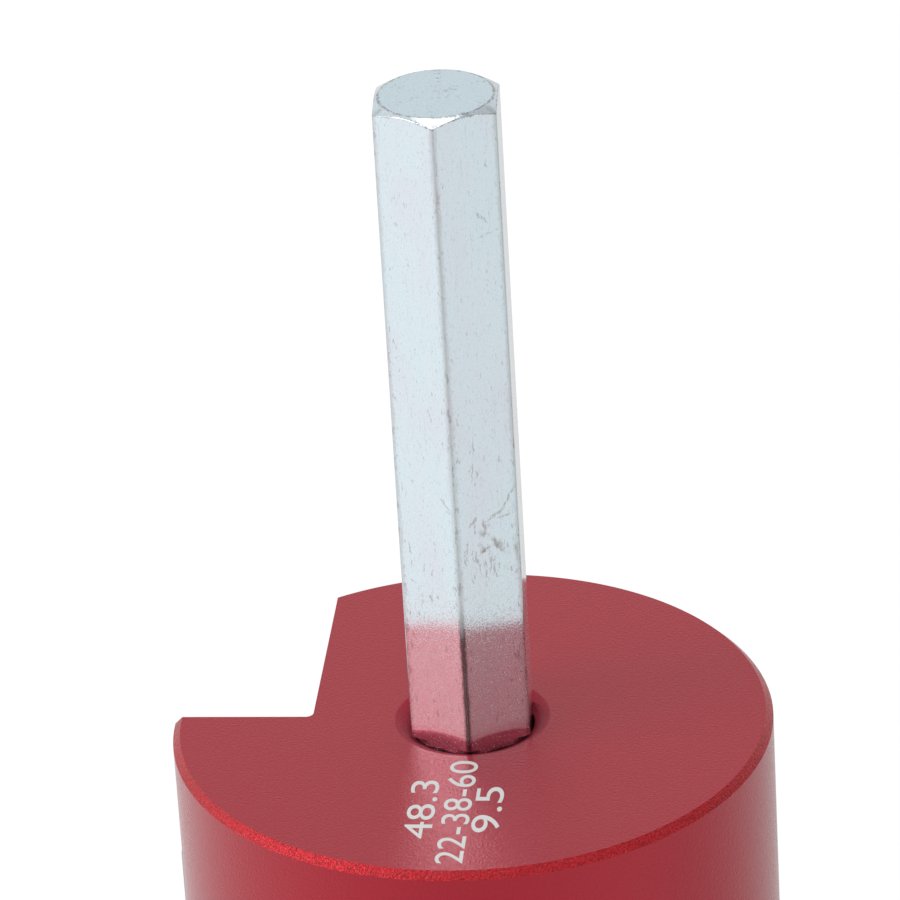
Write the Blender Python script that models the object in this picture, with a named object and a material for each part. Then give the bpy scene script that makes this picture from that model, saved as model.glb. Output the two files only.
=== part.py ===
"""Pipe reamer that clears a broken or cut-off stub of plastic pipe out of a fitting's socket.

The pilot slides into the stub, a drill turns the hex shank, and the blade at the shoulder shaves the
stub away down the socket while the chips leave upwards through the notch. Lengths are in metres, +Z
runs up along the shank, and the origin is the centre of the pilot's end face, which it stands on.
The blade's rake face lies in the plane y = 0 and leads when the shank, seen from above, turns
clockwise.
"""

from math import asin, cos, pi, radians, sin, sqrt, tan

import bmesh
import bpy

MM = 0.001

# The pipe whose stub the tool clears: 1-1/2 in schedule 40
pipe_diameter = 48.26 * MM
pipe_bore = 40.9 * MM

# Body, turned from one bar: it follows the blade down the socket, and its pilot guides it in the stub
body_clearance = 0.13 * MM
body_length = 38.0 * MM
top_chamfer = 0.6 * MM
shoulder_chamfer = 0.4 * MM
pilot_clearance = 0.25 * MM
pilot_length = 22.0 * MM
pilot_chamfer = 1.8 * MM

# Chip notch, milled square to the blade's rake face
notch_wall = 12.85 * MM
notch_fillet = 0.6 * MM

# Blade, let into the notch's radial face
blade_thickness = 2.2 * MM
blade_length = 27.2 * MM
edge_below_shoulder = 0.6 * MM
edge_relief = radians(25.0)
blade_screw_spacing = 13.0 * MM

# Shank, a drawn hex bar whose corners are turned down for the bore, with a turned spigot below
shank_across_flats = 9.45 * MM
shank_corner_radius = 0.25 * MM
shank_corner_cut = 0.42 * MM
shank_above_body = 54.6 * MM
shank_end_diameter = 8.86 * MM
shank_end_angle = radians(30.0)
shank_shoulder = 0.75 * MM
shank_turn = radians(2.0)

# Bore for the shank, with a rounded mouth, and the web at its foot that carries the thrust
bore_clearance = 0.1 * MM
mouth_radius = 1.9 * MM
mouth_angle = radians(42.0)
end_web = 6.0 * MM
end_recess_clearance = 1.0 * MM
end_screw_sunk = 0.85 * MM

# Fasteners: button heads, a washer, and grub screws that bear on one flat of the shank
blade_screw_size = 4.0 * MM
blade_screw_length = 10.0 * MM
end_screw_size = 5.0 * MM
end_screw_length = 12.0 * MM
washer_diameter = 15.0 * MM
washer_thickness = 1.2 * MM
grub_screw_size = 6.0 * MM
grub_screw_length = 16.0 * MM
grub_screw_spacing = 10.5 * MM
grub_screw_above_shoulder = 5.5 * MM
drill_point_room = 1.0 * MM

# Proportions of the screws, as multiples of the thread size
button_head_spread = 1.9
button_head_rise = 0.55
button_socket_spread = 0.6
button_socket_sink = 0.33
grub_socket_spread = 0.5
grub_socket_sink = 0.6

# Room left between fitted pieces
fit_gap = 0.3 * MM

# Facets round the large and the small turned surfaces
body_facets = 128
screw_facets = 40
crown_facets = 5
mouth_facets = 5
corner_facets = 3

blade_reach = pipe_diameter / 2
body_radius = blade_reach - body_clearance
pilot_radius = pipe_bore / 2 - pilot_clearance
shoulder_height = pilot_length
top_height = pilot_length + body_length
blade_edge_height = shoulder_height - edge_below_shoulder
blade_top_height = blade_edge_height + blade_length
blade_inner = notch_wall + fit_gap
blade_seat = -blade_thickness - fit_gap
blade_screw_offset = (blade_inner + blade_reach) / 2
blade_screw_heights = [
    (blade_edge_height + blade_top_height + side * blade_screw_spacing) / 2 for side in (-1, 1)
]
shank_flat = shank_across_flats / 2
shank_corner = 2 * (shank_flat - shank_corner_radius) / sqrt(3) + shank_corner_radius
seat_radius = shank_corner - shank_corner_cut
spigot_radius = shank_flat - shank_shoulder
bore_radius = seat_radius + bore_clearance
mouth_centre = bore_radius + mouth_radius * sin(mouth_angle)
mouth_below_corner = mouth_radius - sqrt(mouth_radius**2 - (mouth_centre - shank_corner) ** 2)
end_screw_seat = end_screw_sunk + button_head_rise * end_screw_size
washer_foot = end_screw_seat + fit_gap
washer_top = washer_foot + washer_thickness
end_recess = washer_top + fit_gap
web_top = end_recess + end_web
spigot_foot = end_recess + fit_gap
shank_foot = web_top + fit_gap
seat_top = top_height - mouth_below_corner + bore_clearance
shank_top = top_height + shank_above_body
grub_screw_heights = [
    shoulder_height + grub_screw_above_shoulder + step * grub_screw_spacing for step in range(2)
]
clear_of_body = body_radius


def clear_scene():
    for old in list(bpy.data.objects):
        bpy.data.objects.remove(old, do_unlink=True)


def material(name, colour, metallic, roughness):
    made = bpy.data.materials.new(name)
    made.use_nodes = True
    shader = made.node_tree.nodes["Principled BSDF"]
    shader.inputs["Base Color"].default_value = (*colour, 1.0)
    shader.inputs["Metallic"].default_value = metallic
    shader.inputs["Roughness"].default_value = roughness
    return made


def add_object(name, bm, finish=None, place=(0.0, 0.0, 0.0), turn=(0.0, 0.0, 0.0)):
    """An object made from a closed bmesh; one without a finish is a cutter."""
    bmesh.ops.remove_doubles(bm, verts=bm.verts, dist=1e-7)
    bmesh.ops.recalc_face_normals(bm, faces=bm.faces)
    mesh = bpy.data.meshes.new(name)
    bm.to_mesh(mesh)
    bm.free()
    made = bpy.data.objects.new(name, mesh)
    made.location = place
    made.rotation_euler = turn
    bpy.context.scene.collection.objects.link(made)
    if finish:
        mesh.materials.append(finish)
        mesh.shade_smooth()
        mesh.set_sharp_from_angle(angle=radians(30.0))
    else:
        made.hide_render = True
        made.display_type = "WIRE"
    return made


def turned(profile, facets):
    """A closed profile of (radius, height) points, spun once round the Z axis."""
    bm = bmesh.new()
    ring = [bm.verts.new((radius, 0.0, height)) for radius, height in profile]
    for start, end in zip(ring, ring[1:] + ring[:1]):
        if start.co.x > 0.0 or end.co.x > 0.0:
            bm.edges.new((start, end))
    bmesh.ops.spin(
        bm,
        geom=bm.verts[:] + bm.edges[:],
        cent=(0.0, 0.0, 0.0),
        axis=(0.0, 0.0, 1.0),
        angle=2 * pi,
        steps=facets,
    )
    return bm


def prism(outline, low, high):
    """An outline in X and Y, extruded up the Z axis from low to high."""
    bm = bmesh.new()
    base = bm.faces.new([bm.verts.new((x, y, low)) for x, y in outline])
    raised = bmesh.ops.extrude_face_region(bm, geom=[base])["geom"]
    tops = [item for item in raised if isinstance(item, bmesh.types.BMVert)]
    bmesh.ops.translate(bm, verts=tops, vec=(0.0, 0.0, high - low))
    return bm


def arc(centre, radius, start, end, steps):
    return [
        (
            centre[0] + radius * cos(start + (end - start) * step / steps),
            centre[1] + radius * sin(start + (end - start) * step / steps),
        )
        for step in range(steps + 1)
    ]


def hexagon(across_flats, corner_radius=0.0):
    """A hexagon with a flat facing +X, its corners rounded where a radius is given."""
    middle = 2 * (across_flats / 2 - corner_radius) / sqrt(3)
    half = radians(30.0)
    outline = []
    for corner in range(6):
        angle = radians(60.0) * corner + half
        centre = (middle * cos(angle), middle * sin(angle))
        if corner_radius:
            outline += arc(centre, corner_radius, angle - half, angle + half, corner_facets)
        else:
            outline.append(centre)
    return outline


def modify(piece, operation, tool):
    boolean = piece.modifiers.new(tool.name, "BOOLEAN")
    boolean.operation = operation
    boolean.object = tool


def drill(piece, name, diameter, place, turn, depth):
    """A round hole from a point on the piece, along the local -Z of the turn."""
    radius = diameter / 2
    bit = add_object(
        name,
        turned([(0.0, fit_gap), (radius, fit_gap), (radius, -depth), (0.0, -depth)], screw_facets),
        place=place,
        turn=turn,
    )
    modify(piece, "DIFFERENCE", bit)


def make_body(finish):
    recess_radius = washer_diameter / 2 + end_recess_clearance
    web_hole = spigot_radius + fit_gap
    profile = [
        (body_radius - top_chamfer, top_height),
        (body_radius, top_height - top_chamfer),
        (body_radius, shoulder_height + shoulder_chamfer),
        (body_radius - shoulder_chamfer, shoulder_height),
        (pilot_radius, shoulder_height),
        (pilot_radius, pilot_chamfer),
        (pilot_radius - pilot_chamfer, 0.0),
        (recess_radius, 0.0),
        (recess_radius, end_recess),
        (web_hole, end_recess),
        (web_hole, web_top),
        (bore_radius, web_top),
        *arc(
            (mouth_centre, top_height - mouth_radius),
            mouth_radius,
            pi / 2 + mouth_angle,
            pi / 2,
            mouth_facets,
        ),
    ]
    body = add_object("reamer_body", turned(profile, body_facets), finish)

    far = body_radius + clear_of_body
    low, high = -clear_of_body, top_height + clear_of_body
    corner = arc(
        (-notch_wall - notch_fillet, notch_fillet), notch_fillet, -pi / 2, 0.0, 2 * corner_facets
    )
    notch = prism([(-far, 0.0), *corner, (-notch_wall, far), (-far, far)], low, high)
    modify(body, "DIFFERENCE", add_object("notch_cutter", notch))

    mouth = 2 * notch_fillet
    pocket = prism(
        [(-far, blade_seat), (-notch_wall, blade_seat), (-notch_wall, mouth), (-far, mouth)],
        low,
        blade_top_height + fit_gap,
    )
    modify(body, "DIFFERENCE", add_object("blade_pocket_cutter", pocket))

    for place, height in zip(("lower", "upper"), blade_screw_heights):
        drill(
            body,
            f"blade_screw_hole_{place}",
            blade_screw_size + 2 * fit_gap,
            (-blade_screw_offset, blade_seat, height),
            (-pi / 2, 0.0, 0.0),
            blade_screw_length - blade_thickness + drill_point_room,
        )
    for place, height in zip(("lower", "upper"), grub_screw_heights):
        drill(
            body,
            f"grub_screw_hole_{place}",
            grub_screw_size + 2 * fit_gap,
            (body_radius, 0.0, height),
            (0.0, pi / 2, 0.0),
            body_radius - shank_flat,
        )
    return body


def make_shank(finish):
    """Hex bar, turned in a lathe: a chamfered drive end, a seat for the bore and a spigot for the web."""
    past_corner = shank_corner + bore_clearance
    end_radius = shank_end_diameter / 2
    chamfer_height = (past_corner - end_radius) * tan(shank_end_angle)
    bar = prism(hexagon(shank_across_flats, shank_corner_radius), spigot_foot, shank_top)
    shank = add_object("hex_shank", bar, finish, turn=(0.0, 0.0, shank_turn))
    lathe_outline = turned(
        [
            (0.0, shank_top),
            (end_radius, shank_top),
            (past_corner, shank_top - chamfer_height),
            (past_corner, seat_top),
            (seat_radius, seat_top),
            (seat_radius, shank_foot),
            (spigot_radius, shank_foot),
            (spigot_radius, spigot_foot),
            (0.0, spigot_foot),
        ],
        body_facets,
    )
    modify(shank, "INTERSECT", add_object("shank_lathe_outline", lathe_outline))
    drill(
        shank,
        "end_screw_hole",
        end_screw_size + 2 * fit_gap,
        (0.0, 0.0, spigot_foot),
        (pi, 0.0, 0.0),
        end_screw_length + drill_point_room,
    )
    return shank


def make_blade(finish):
    """Ground plate; its outer side is ground to the cutting radius, its foot to the relief angle."""
    back_angle = pi + asin(blade_thickness / blade_reach)
    outline = [
        (-blade_inner, 0.0),
        *arc((0.0, 0.0), blade_reach, pi, back_angle, corner_facets),
        (-blade_inner, -blade_thickness),
    ]
    plate = prism(outline, blade_edge_height, blade_top_height)
    for vert in plate.verts:
        if vert.co.z < (blade_edge_height + blade_top_height) / 2:
            vert.co.z -= vert.co.y * tan(edge_relief)
    blade = add_object("cutter_blade", plate, finish)
    for place, height in zip(("lower", "upper"), blade_screw_heights):
        drill(
            blade,
            f"blade_hole_{place}",
            blade_screw_size + 2 * fit_gap,
            (-blade_screw_offset, 0.0, height),
            (-pi / 2, 0.0, 0.0),
            blade_thickness + fit_gap,
        )
    return blade


def button_screw(name, finish, size, length, place, turn):
    """A button-head screw whose head sits on its local Z = 0, its plain shank running down local -Z."""
    head_radius = button_head_spread * size / 2
    head_height = button_head_rise * size
    crown_radius = head_radius / 2
    rim = head_height / 6
    point = size / 8
    crown = [
        (crown_radius + (head_radius - crown_radius) * sin(angle), rim + (head_height - rim) * cos(angle))
        for angle in (pi / 2 * step / crown_facets for step in range(crown_facets + 1))
    ]
    profile = [
        (0.0, head_height),
        *crown,
        (head_radius, 0.0),
        (size / 2, 0.0),
        (size / 2, point - length),
        (size / 2 - point, -length),
        (0.0, -length),
    ]
    screw = add_object(name, turned(profile, screw_facets), finish, place, turn)
    socket = prism(
        hexagon(button_socket_spread * size),
        head_height - button_socket_sink * size,
        head_height + fit_gap,
    )
    modify(screw, "DIFFERENCE", add_object(f"{name}_socket", socket, place=place, turn=turn))
    return screw


def grub_screw(name, finish, place, turn):
    """A headless screw: its socket end lies at local Z = 0 and its flat point down local -Z."""
    radius = grub_screw_size / 2
    point = radius / 2
    lead = radius / 8
    profile = [
        (0.0, 0.0),
        (radius - lead, 0.0),
        (radius, -lead),
        (radius, point - grub_screw_length),
        (radius - point, -grub_screw_length),
        (0.0, -grub_screw_length),
    ]
    screw = add_object(name, turned(profile, screw_facets), finish, place, turn)
    socket = prism(
        hexagon(grub_socket_spread * grub_screw_size),
        -grub_socket_sink * grub_screw_size,
        fit_gap,
    )
    modify(screw, "DIFFERENCE", add_object(f"{name}_socket", socket, place=place, turn=turn))
    return screw


def make_screws(finish):
    for place, height in zip(("lower", "upper"), blade_screw_heights):
        button_screw(
            f"blade_screw_{place}",
            finish,
            blade_screw_size,
            blade_screw_length,
            (-blade_screw_offset, fit_gap, height),
            (-pi / 2, 0.0, 0.0),
        )
    for place, height in zip(("lower", "upper"), grub_screw_heights):
        grub_screw(
            f"shank_grub_screw_{place}",
            finish,
            (shank_flat + fit_gap + grub_screw_length, 0.0, height),
            (0.0, pi / 2, 0.0),
        )
    button_screw(
        "end_screw",
        finish,
        end_screw_size,
        end_screw_length,
        (0.0, 0.0, end_screw_seat),
        (pi, 0.0, 0.0),
    )


def make_washer(finish):
    hole = end_screw_size / 2 + fit_gap
    rim = washer_thickness / 6
    profile = [
        (hole, washer_foot),
        (washer_diameter / 2 - rim, washer_foot),
        (washer_diameter / 2, washer_foot + rim),
        (washer_diameter / 2, washer_top),
        (hole, washer_top),
    ]
    return add_object("end_washer", turned(profile, screw_facets), finish)


clear_scene()
zinc_plate = material("zinc_plated_steel", (0.66, 0.71, 0.74), 1.0, 0.3)
make_body(material("red_anodised_aluminium", (0.38, 0.028, 0.042), 0.6, 0.38))
make_shank(zinc_plate)
make_blade(material("ground_tool_steel", (0.46, 0.46, 0.47), 1.0, 0.28))
make_washer(zinc_plate)
make_screws(material("black_oxide_steel", (0.035, 0.035, 0.038), 0.8, 0.42))
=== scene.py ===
"""Looks of a pipe reamer, built round its solids. Lengths are in metres, +Z up along the shank."""

from math import cos, pi, radians, sin, sqrt, tan

import bmesh
import bpy
from mathutils import Matrix, Vector


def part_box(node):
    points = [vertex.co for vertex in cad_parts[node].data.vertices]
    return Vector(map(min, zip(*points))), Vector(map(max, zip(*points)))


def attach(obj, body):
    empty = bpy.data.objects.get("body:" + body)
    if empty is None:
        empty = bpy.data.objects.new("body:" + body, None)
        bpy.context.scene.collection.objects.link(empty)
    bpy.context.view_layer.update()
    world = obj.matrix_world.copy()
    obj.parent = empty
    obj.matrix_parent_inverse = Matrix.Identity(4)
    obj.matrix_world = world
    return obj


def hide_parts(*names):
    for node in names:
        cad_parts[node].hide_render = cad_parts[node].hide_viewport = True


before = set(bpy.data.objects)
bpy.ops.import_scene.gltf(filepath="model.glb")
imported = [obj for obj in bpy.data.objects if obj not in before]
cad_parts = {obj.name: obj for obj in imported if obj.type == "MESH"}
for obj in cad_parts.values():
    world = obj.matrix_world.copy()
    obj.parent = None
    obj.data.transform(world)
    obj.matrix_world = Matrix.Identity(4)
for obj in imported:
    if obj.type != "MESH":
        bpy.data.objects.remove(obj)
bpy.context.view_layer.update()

# Camera: a long lens that looks down at the tool from the side that the notch opens to the left of.
# The picture's frame cuts the body off, so the camera aims above the top face and leans a little.
MM = 0.001
body_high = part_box("reamer_body")[1]
top_height = body_high.z
camera_azimuth = radians(-83.5)
camera_elevation = radians(30.092)
camera_distance = 497.4 * MM
focal_length, sensor_width = 248.92, 36.0
aim_left, aim_up, lean = radians(0.0615), radians(2.4586), radians(3.3959)


def pointing(azimuth, elevation):
    """The direction at this azimuth, turned from +X towards +Y, and this elevation."""
    return Vector((cos(azimuth) * cos(elevation), sin(azimuth) * cos(elevation), sin(elevation)))


lens = bpy.data.cameras.new("camera")
lens.sensor_width = sensor_width
lens.lens = focal_length
lens.clip_start, lens.clip_end = 0.02, 20.0
camera = bpy.data.objects.new("camera", lens)
bpy.context.scene.collection.objects.link(camera)
bpy.context.scene.camera = camera
toward_camera = pointing(camera_azimuth, camera_elevation)
camera.location = Vector((0.0, 0.0, top_height)) + camera_distance * toward_camera
level_aim = (-toward_camera).to_track_quat("-Z", "Y").to_matrix()
aim = Matrix.Rotation(aim_left, 3, "Y") @ Matrix.Rotation(aim_up, 3, "X") @ Matrix.Rotation(-lean, 3, "Z")
camera.rotation_euler = (level_aim @ aim).to_euler()

# Floor and light: a white paper sweep, a big soft lamp high on the left and a second one overhead.
# The camera finds the sweep white. A mirror finds it dimmer overhead, on the right and on the floor,
# and brightest at the front's two sides.
bpy.context.scene.view_settings.view_transform = "Standard"
diffuse_level = 0.76
backdrop_level = 0.74
wall_top, overhead_foot = 0.58, 0.74
floor_size = 4.0
floor_drop = 0.1 * MM
glow_share, glow_level = 0.85, 1.03
lamp_distance = 1.2

# Stops of degrees to the right of the camera's view, and the level that a mirror finds there
wall_stops = [
    (-180, 1.0),
    (-130, 1.25),
    (-95, 1.25),
    (-70, 1.0),
    (-25, 0.95),
    (35, 0.95),
    (70, 0.27),
    (100, 0.27),
    (122, 1.45),
    (150, 1.45),
    (180, 1.0),
]
overhead_stops = [
    (-180, 0.14),
    (-120, 0.14),
    (-60, 0.75),
    (0, 0.6),
    (57, 0.45),
    (100, 0.45),
    (130, 0.14),
    (180, 0.14),
]
# Painted light and shade of the paper's glow, as a mirror finds it: dimmest on the right, where the
# object's shadow falls, and towards the camera
floor_stops = [
    (-180, 0.64),
    (-110, 0.95),
    (-80, 0.87),
    (-50, 0.82),
    (-20, 0.8),
    (0, 0.75),
    (40, 0.64),
    (100, 0.61),
    (130, 0.83),
    (180, 0.64),
]


def linear(code):
    """An sRGB hex colour as the linear RGBA that a socket takes."""
    parts = [int(code[i : i + 2], 16) / 255 for i in (0, 2, 4)]
    return (*[p / 12.92 if p <= 0.04045 else ((p + 0.055) / 1.055) ** 2.4 for p in parts], 1.0)


def put(socket, value):
    """Sets an input to a plain value, or links it to a socket or to a node's first output in use."""
    if isinstance(value, bpy.types.Node):
        value = next(output for output in value.outputs if output.enabled)
    if isinstance(value, bpy.types.NodeSocket):
        socket.id_data.links.new(value, socket)
    else:
        socket.default_value = value


def add_node(tree, kind, inputs=None, **settings):
    """A node with its settings and with each named or numbered input put."""
    made = tree.nodes.new(kind)
    for name, value in settings.items():
        setattr(made, name, value)
    for name, value in (inputs or {}).items():
        put(made.inputs[name], value)
    return made


def level_round(tree, direction, stops):
    """The level that a list of stops gives for a direction, seen in plan."""
    turned = add_node(
        tree,
        "ShaderNodeVectorRotate",
        {"Vector": direction, "Angle": -camera_azimuth},
        rotation_type="Z_AXIS",
    )
    split = add_node(tree, "ShaderNodeSeparateXYZ", {0: turned}).outputs
    behind = add_node(tree, "ShaderNodeMath", {0: split["X"], 1: -1.0}, operation="MULTIPLY")
    angle = add_node(tree, "ShaderNodeMath", {0: split["Y"], 1: behind}, operation="ARCTAN2")
    share = add_node(tree, "ShaderNodeMapRange", {"Value": angle, "From Min": -pi, "From Max": pi})
    ramp = add_node(tree, "ShaderNodeValToRGB", {"Fac": share})
    points = ramp.color_ramp.elements
    for point, (degrees, grey) in zip(list(points), (stops[0], stops[-1])):
        point.position = 0.5 + degrees / 360.0
        point.color = (grey, grey, grey, 1.0)
    for degrees, grey in stops[1:-1]:
        points.new(0.5 + degrees / 360.0).color = (grey, grey, grey, 1.0)
    return ramp


def seen_directly(tree, rays):
    """1 for a ray from the camera, also through a clear piece, and 0 for any other."""
    straight, through = rays["Is Camera Ray"], rays["Is Transmission Ray"]
    return add_node(tree, "ShaderNodeMath", {0: straight, 1: through}, operation="MAXIMUM")


world = bpy.data.worlds.new("studio")
bpy.context.scene.world = world
world.use_nodes = True
sky = world.node_tree
sky.nodes.clear()
rays = add_node(sky, "ShaderNodeLightPath").outputs
direction = add_node(sky, "ShaderNodeTexCoord").outputs["Generated"]
height = add_node(sky, "ShaderNodeSeparateXYZ", {0: direction}).outputs["Z"]
wall_round = level_round(sky, direction, wall_stops)
wall_level = add_node(sky, "ShaderNodeMath", {0: wall_round, 1: backdrop_level}, operation="MULTIPLY")
glossy_level = add_node(
    sky,
    "ShaderNodeMapRange",
    {
        "Value": height,
        "From Min": wall_top,
        "From Max": overhead_foot,
        "To Min": wall_level,
        "To Max": level_round(sky, direction, overhead_stops),
    },
    interpolation_type="SMOOTHSTEP",
)
unseen_level = add_node(
    sky, "ShaderNodeMix", {"Factor": rays["Is Glossy Ray"], 2: diffuse_level, 3: glossy_level}
)
level = add_node(sky, "ShaderNodeMix", {"Factor": seen_directly(sky, rays), 2: unseen_level, 3: 1.0})
backdrop = add_node(sky, "ShaderNodeBackground", {"Color": linear("ffffff"), "Strength": level})
add_node(sky, "ShaderNodeOutputWorld", {"Surface": backdrop})

bpy.ops.object.select_all(action="DESELECT")
bpy.ops.mesh.primitive_plane_add(size=floor_size, location=(0.0, 0.0, -floor_drop))
floor = bpy.context.object
floor.name = "paper_sweep"
paper = bpy.data.materials.new("white_paper")
paper.use_nodes = True
tree = paper.node_tree
tree.nodes.clear()
rays = add_node(tree, "ShaderNodeLightPath").outputs
place = add_node(tree, "ShaderNodeTexCoord").outputs["Object"]

# The paper's lit part keeps the object's shadow, and its glow brings it up to white for the camera
# Painted shadow: for mirrors the paper glows by direction round the body, dimmest on the right, where the
# object's shadow falls
mirror_level = level_round(tree, place, floor_stops)
level = add_node(
    tree, "ShaderNodeMix", {"Factor": rays["Is Glossy Ray"], 2: glow_level, 3: mirror_level}
)
glow = add_node(tree, "ShaderNodeEmission", {"Color": linear("ffffff"), "Strength": level})
lit = add_node(tree, "ShaderNodeBsdfDiffuse", {"Color": linear("f4f4f4")})
seen = seen_directly(tree, rays)
seen = add_node(tree, "ShaderNodeMath", {0: seen, 1: rays["Is Glossy Ray"]}, operation="MAXIMUM")
share = add_node(tree, "ShaderNodeMath", {0: seen, 1: glow_share}, operation="MULTIPLY")
surface = add_node(tree, "ShaderNodeMixShader", {0: share, 1: lit, 2: glow})
add_node(tree, "ShaderNodeOutputMaterial", {"Surface": surface})
floor.data.materials.append(paper)


def soft_lamp(name, azimuth, elevation, size, power):
    """A square lamp that faces the body, placed by degrees to the right of the camera's view and up."""
    toward = pointing(camera_azimuth + radians(180.0 - azimuth), radians(elevation))
    data = bpy.data.lights.new(name, "AREA")
    data.size = size
    data.energy = power
    lamp = bpy.data.objects.new(name, data)
    bpy.context.scene.collection.objects.link(lamp)
    lamp.location = Vector((0.0, 0.0, top_height)) + toward * lamp_distance
    lamp.rotation_euler = (-toward).to_track_quat("-Z", "Y").to_euler()
    lamp.visible_camera = False


soft_lamp("key_softbox", -103.0, 40.0, size=0.57, power=4.85)
soft_lamp("top_softbox", 0.0, 88.0, size=0.7, power=2.0)

# Reamer body: turned from one bar of aluminium, notched from end to end and drilled for its screws.
# It was bead-blasted and then anodised red, so it is satin, with a fine grain and a clear oxide skin.
# Its bore is 0.15 mm tighter than the solid's, whose gap would show as a dark ring.
blade_low, blade_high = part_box("cutter_blade")
screw_boxes = [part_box(f"blade_screw_{place}") for place in ("lower", "upper")]
grub_boxes = [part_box(f"shank_grub_screw_{place}") for place in ("lower", "upper")]
fit_gap = 0.3 * MM
body_radius = body_high.x
shoulder_height = 22.0 * MM
pilot_radius = 20.2 * MM
rim_chamfer = 0.6 * MM
shoulder_chamfer = 0.4 * MM
pilot_chamfer = 1.8 * MM
bore_radius = 4.95 * MM
mouth_radius = 1.9 * MM
mouth_angle = radians(42.0)
mouth_crease = radians(13.0)
mouth_facets = 8
web_hole_radius = 4.275 * MM
web_top = 11.4 * MM
recess_radius = 8.5 * MM
recess_depth = 5.4 * MM
notch_wall = 12.85 * MM
notch_fillet = 0.6 * MM
blade_seat = blade_low.y - fit_gap
blade_screw_size = 4.0 * MM
blade_tapping_depth = 8.8 * MM
grub_screw_size = 6.0 * MM
edge_softness = 0.14 * MM
body_segments = 256
near = 0.01 * MM


def activate(piece, mode="OBJECT"):
    """Selects this piece alone and enters the mode, with nothing selected inside it."""
    if bpy.context.object and bpy.context.object.mode != "OBJECT":
        bpy.ops.object.mode_set(mode="OBJECT")
    bpy.ops.object.select_all(action="DESELECT")
    bpy.context.view_layer.objects.active = piece
    piece.select_set(True)
    if mode == "EDIT":
        bpy.ops.object.mode_set(mode="EDIT")
        bpy.ops.mesh.select_all(action="DESELECT")


def pick(kind, test):
    """In edit mode, selects only the vertices, edges or faces that pass the test."""
    mesh = bpy.context.object.data
    bpy.ops.mesh.select_mode(type={"verts": "VERT", "edges": "EDGE", "faces": "FACE"}[kind])
    bpy.ops.mesh.select_all(action="DESELECT")
    shape = bmesh.from_edit_mesh(mesh)
    for item in getattr(shape, kind):
        if test(item):
            item.select_set(True)
    shape.select_flush_mode()
    bmesh.update_edit_mesh(mesh)


def at_height(face, height, sign=1.0):
    """True for a level face at this height that faces up, or down for a sign of -1."""
    return abs(face.calc_center_median().z - height) < near and face.normal.z * sign > 0.9


def ring_at(radius, height):
    """A test for the edges of the ring with this radius and height."""

    def test(edge):
        return all(
            abs(v.co.z - height) < near and abs(v.co.xy.length - radius) < near for v in edge.verts
        )

    return test


def bevel_edges(piece, test, width, segments=1, **settings):
    """Bevels the edges of the piece that pass the test."""
    activate(piece, "EDIT")
    pick("edges", test)
    bpy.ops.mesh.bevel(offset=width, segments=segments, **settings)
    bpy.ops.object.mode_set(mode="OBJECT")


def extrude_up(rise):
    """In edit mode, extrudes what is selected straight up, or down for a negative rise."""
    bpy.ops.mesh.extrude_region_move(TRANSFORM_OT_translate={"value": (0.0, 0.0, rise)})


def widen(old, new):
    """In edit mode, brings what is selected from the old radius to the new one."""
    bpy.ops.transform.resize(value=(new / old, new / old, 1.0))


def apply_modifier(piece, kind, **settings):
    """Adds a modifier and applies it at once."""
    activate(piece)
    made = piece.modifiers.new("step", kind)
    for name, value in settings.items():
        setattr(made, name, value)
    bpy.ops.object.modifier_apply(modifier=made.name)


def cut(piece, tool, operation="DIFFERENCE"):
    """Cuts the piece with the tool, which is then deleted."""
    apply_modifier(piece, "BOOLEAN", object=tool, operation=operation)
    bpy.data.objects.remove(tool, do_unlink=True)


def rod(name, radius, low, high, segments):
    """An upright cylinder on the tool's axis."""
    bpy.ops.object.select_all(action="DESELECT")
    bpy.ops.mesh.primitive_cylinder_add(
        vertices=segments, radius=radius, depth=high - low, location=(0.0, 0.0, (low + high) / 2)
    )
    made = bpy.context.object
    made.name = name
    bpy.ops.object.transform_apply()
    return made


def block(name, low, high):
    """A box between two corners."""
    bpy.ops.object.select_all(action="DESELECT")
    middle = (Vector(low) + Vector(high)) / 2
    bpy.ops.mesh.primitive_cube_add(size=1.0, location=middle, scale=Vector(high) - Vector(low))
    made = bpy.context.object
    made.name = name
    bpy.ops.object.transform_apply()
    return made


def drilled(piece, centre, toward, radius, depth):
    """Cuts a round hole that starts just outside the centre and runs depth deep against toward."""
    start = 0.3 * MM
    bpy.ops.object.select_all(action="DESELECT")
    bpy.ops.mesh.primitive_cylinder_add(vertices=64, radius=radius, depth=depth + start)
    bit = bpy.context.object
    bit.location = Vector(centre) + Vector(toward) * (start - depth) / 2
    bit.rotation_euler = Vector(toward).to_track_quat("Z", "Y").to_euler()
    bpy.ops.object.transform_apply()
    cut(piece, bit)


def soften(piece, width, segments=3):
    """Rounds every real edge by the given width and keeps the flats' own shading."""
    apply_modifier(
        piece,
        "BEVEL",
        width=width,
        segments=segments,
        limit_method="ANGLE",
        angle_limit=radians(20.0),
        use_clamp_overlap=True,
        miter_outer="MITER_ARC",
    )
    activate(piece)
    bpy.ops.object.shade_smooth_by_angle(angle=radians(40.0))
    apply_modifier(piece, "WEIGHTED_NORMAL", keep_sharp=True)


body = rod("reamer_body_finish", pilot_radius, 0.0, shoulder_height, body_segments)
activate(body, "EDIT")
pick("faces", lambda f: at_height(f, shoulder_height))
extrude_up(0.0)
widen(pilot_radius, body_radius)
extrude_up(top_height - shoulder_height)

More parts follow.
